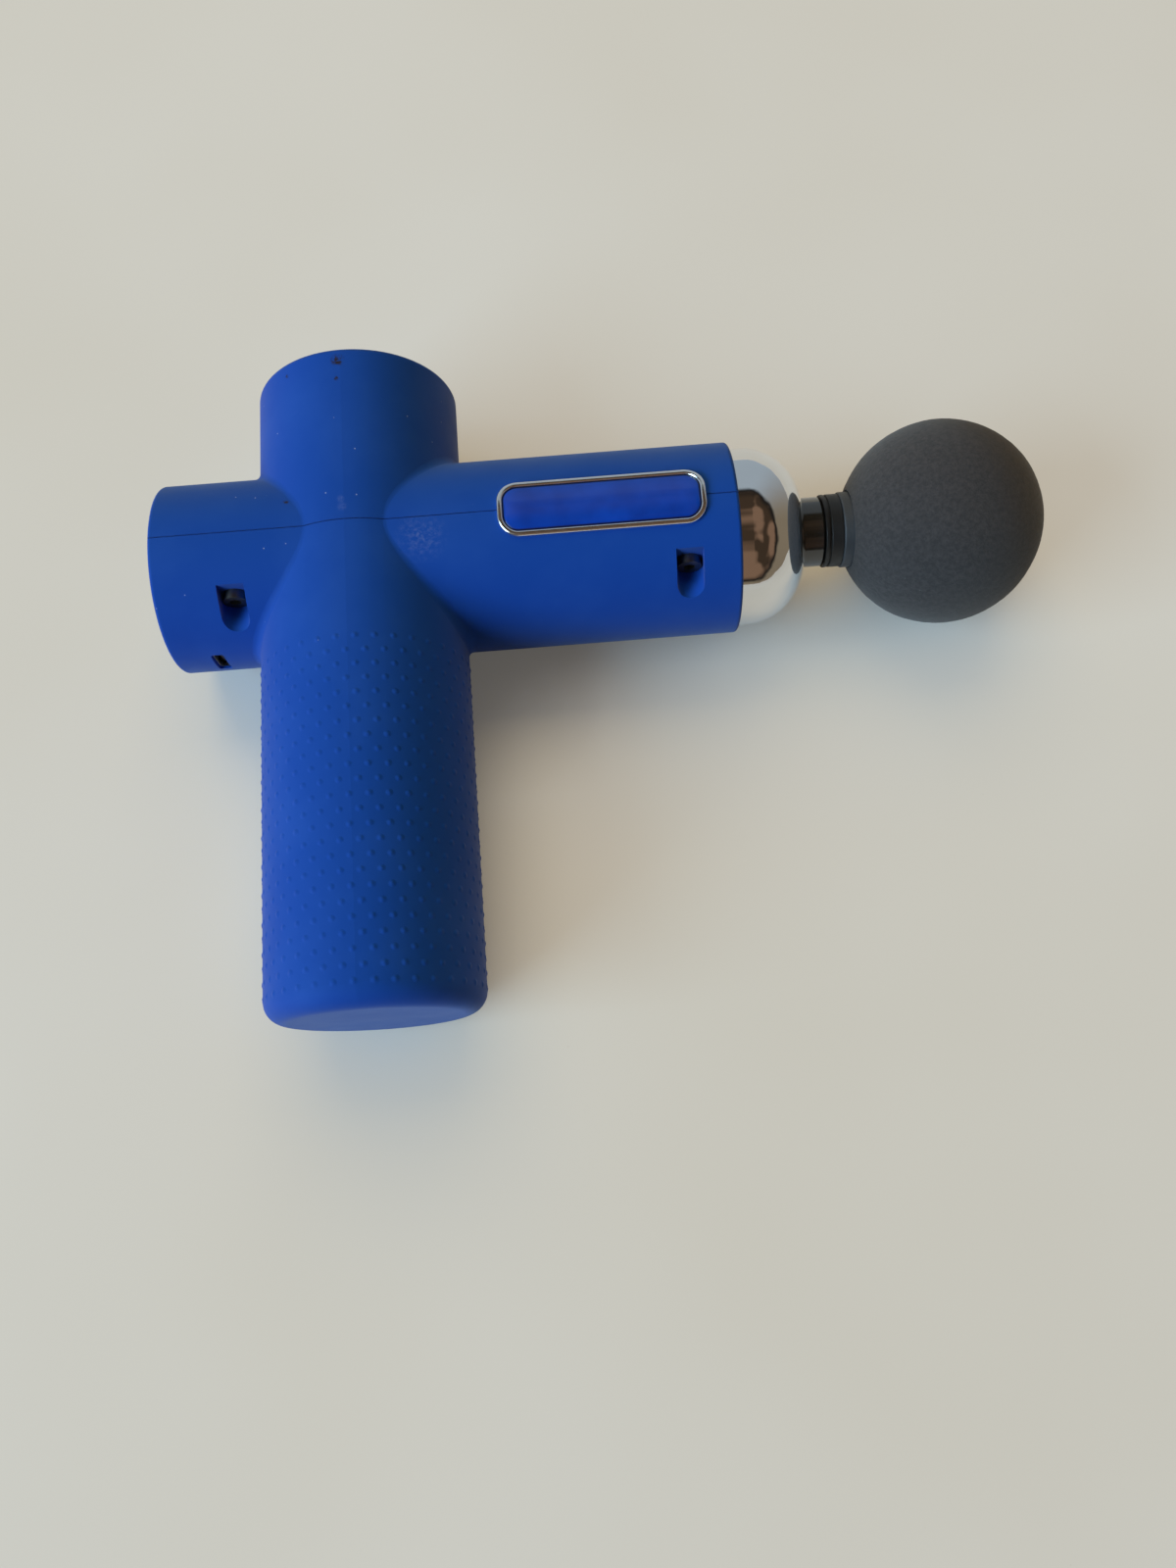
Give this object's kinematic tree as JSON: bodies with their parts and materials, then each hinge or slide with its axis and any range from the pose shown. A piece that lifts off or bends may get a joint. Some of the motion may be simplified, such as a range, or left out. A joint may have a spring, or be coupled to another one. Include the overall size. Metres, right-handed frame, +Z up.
{
  "type": "massage gun",
  "caption": "Cross-shaped cordless massage gun: round grip, motor housing and short barrel with a bright nose, a reciprocating tube and a push-in foam ball head.",
  "frame": {"origin": "centre of the footprint on the table, with the gun lying on its side and z = 0 at the table", "axes": "+X along the barrel to the ball head, +Y from the grip to the motor housing, +Z up from the table"},
  "size_m": [0.194, 0.1424, 0.045],
  "materials": {
    "blue_shell": "satin soft-touch",
    "chrome": "polished",
    "blue_gel": "gloss, domed",
    "black_matte": "matte",
    "black_gloss": "gloss",
    "dark_rubber": "matte",
    "foam": "closed-cell foam, fine grain",
    "grey_plastic": "matte",
    "white_plastic": "satin, translucent",
    "steel": "machined",
    "black_steel": "black oxide",
    "aluminium": "machined",
    "copper": "enamelled wire",
    "bronze": "sintered",
    "board": "solder mask",
    "cell_wrap": "shrink wrap"
  },
  "bodies": {
    "housing": {"upper_shell": "blue_shell", "lower_shell": "blue_shell", "housing_screws": "black_steel", "nose_cone": "chrome", "nose_bush": "bronze", "nose_seal": "dark_rubber", "badge_frame": "chrome", "badge_plate": "blue_gel", "rear_panel": "black_matte", "light_windows": "white_plastic", "control_board": "board", "button_switch": "black_steel", "status_lamps": "white_plastic", "port_shell": "steel", "port_tongue": "black_matte", "motor_plate": "aluminium", "motor_bearings": "steel", "motor_screws": "steel", "stator_core": "steel", "stator_coils": "copper", "guide_sleeve": "bronze", "guide_dampers": "dark_rubber", "battery_cells": "cell_wrap", "cell_straps": "steel", "cell_holders": "black_matte", "drive_board": "board", "drive_chips": "black_matte"},
    "rotor": {"rotor_bell": "steel", "rotor_magnets": "steel", "motor_shaft": "steel", "eccentric_disc": "steel"},
    "rod": {"con_rod": "aluminium", "crank_bearing": "steel", "crank_pin": "steel"},
    "plunger": {"piston": "aluminium", "wrist_pin": "steel", "output_tube": "black_gloss"},
    "head": {"head_stem": "black_matte", "stem_o_rings": "dark_rubber", "ridge_ring": "dark_rubber", "head_collar": "grey_plastic", "ball_head": "foam"},
    "button": {"power_button": "grey_plastic"}
  },
  "joints": [
    {"name": "piston_stroke", "type": "slide", "parent": "housing", "child": "plunger", "axis": [1, 0, 0], "range_m": [0, 0.007]},
    {"name": "motor_spin", "type": "hinge", "parent": "housing", "child": "rotor", "pos_m": [-0.0552, 0.02975, 0.0225], "axis": [0, 1, 0], "continuous": true},
    {"name": "rod_swing", "type": "hinge", "parent": "plunger", "child": "rod", "pos_m": [-0.0287, 0.02975, 0.0225], "axis": [0, 1, 0], "range_deg": [-6.7, 6.7]},
    {"name": "head_pull", "type": "slide", "parent": "plunger", "child": "head", "axis": [1, 0, 0], "range_m": [0, 0.028]},
    {"name": "power_press", "type": "slide", "parent": "housing", "child": "button", "axis": [1, 0, 0], "range_m": [0, 0.0005], "stiffness_N_per_m": 2000, "springref_m": -0.0003}
  ],
  "couplings": [
    {"joint": "motor_spin", "follows": "piston_stroke", "rad_per_m": 448.8}
  ]
}
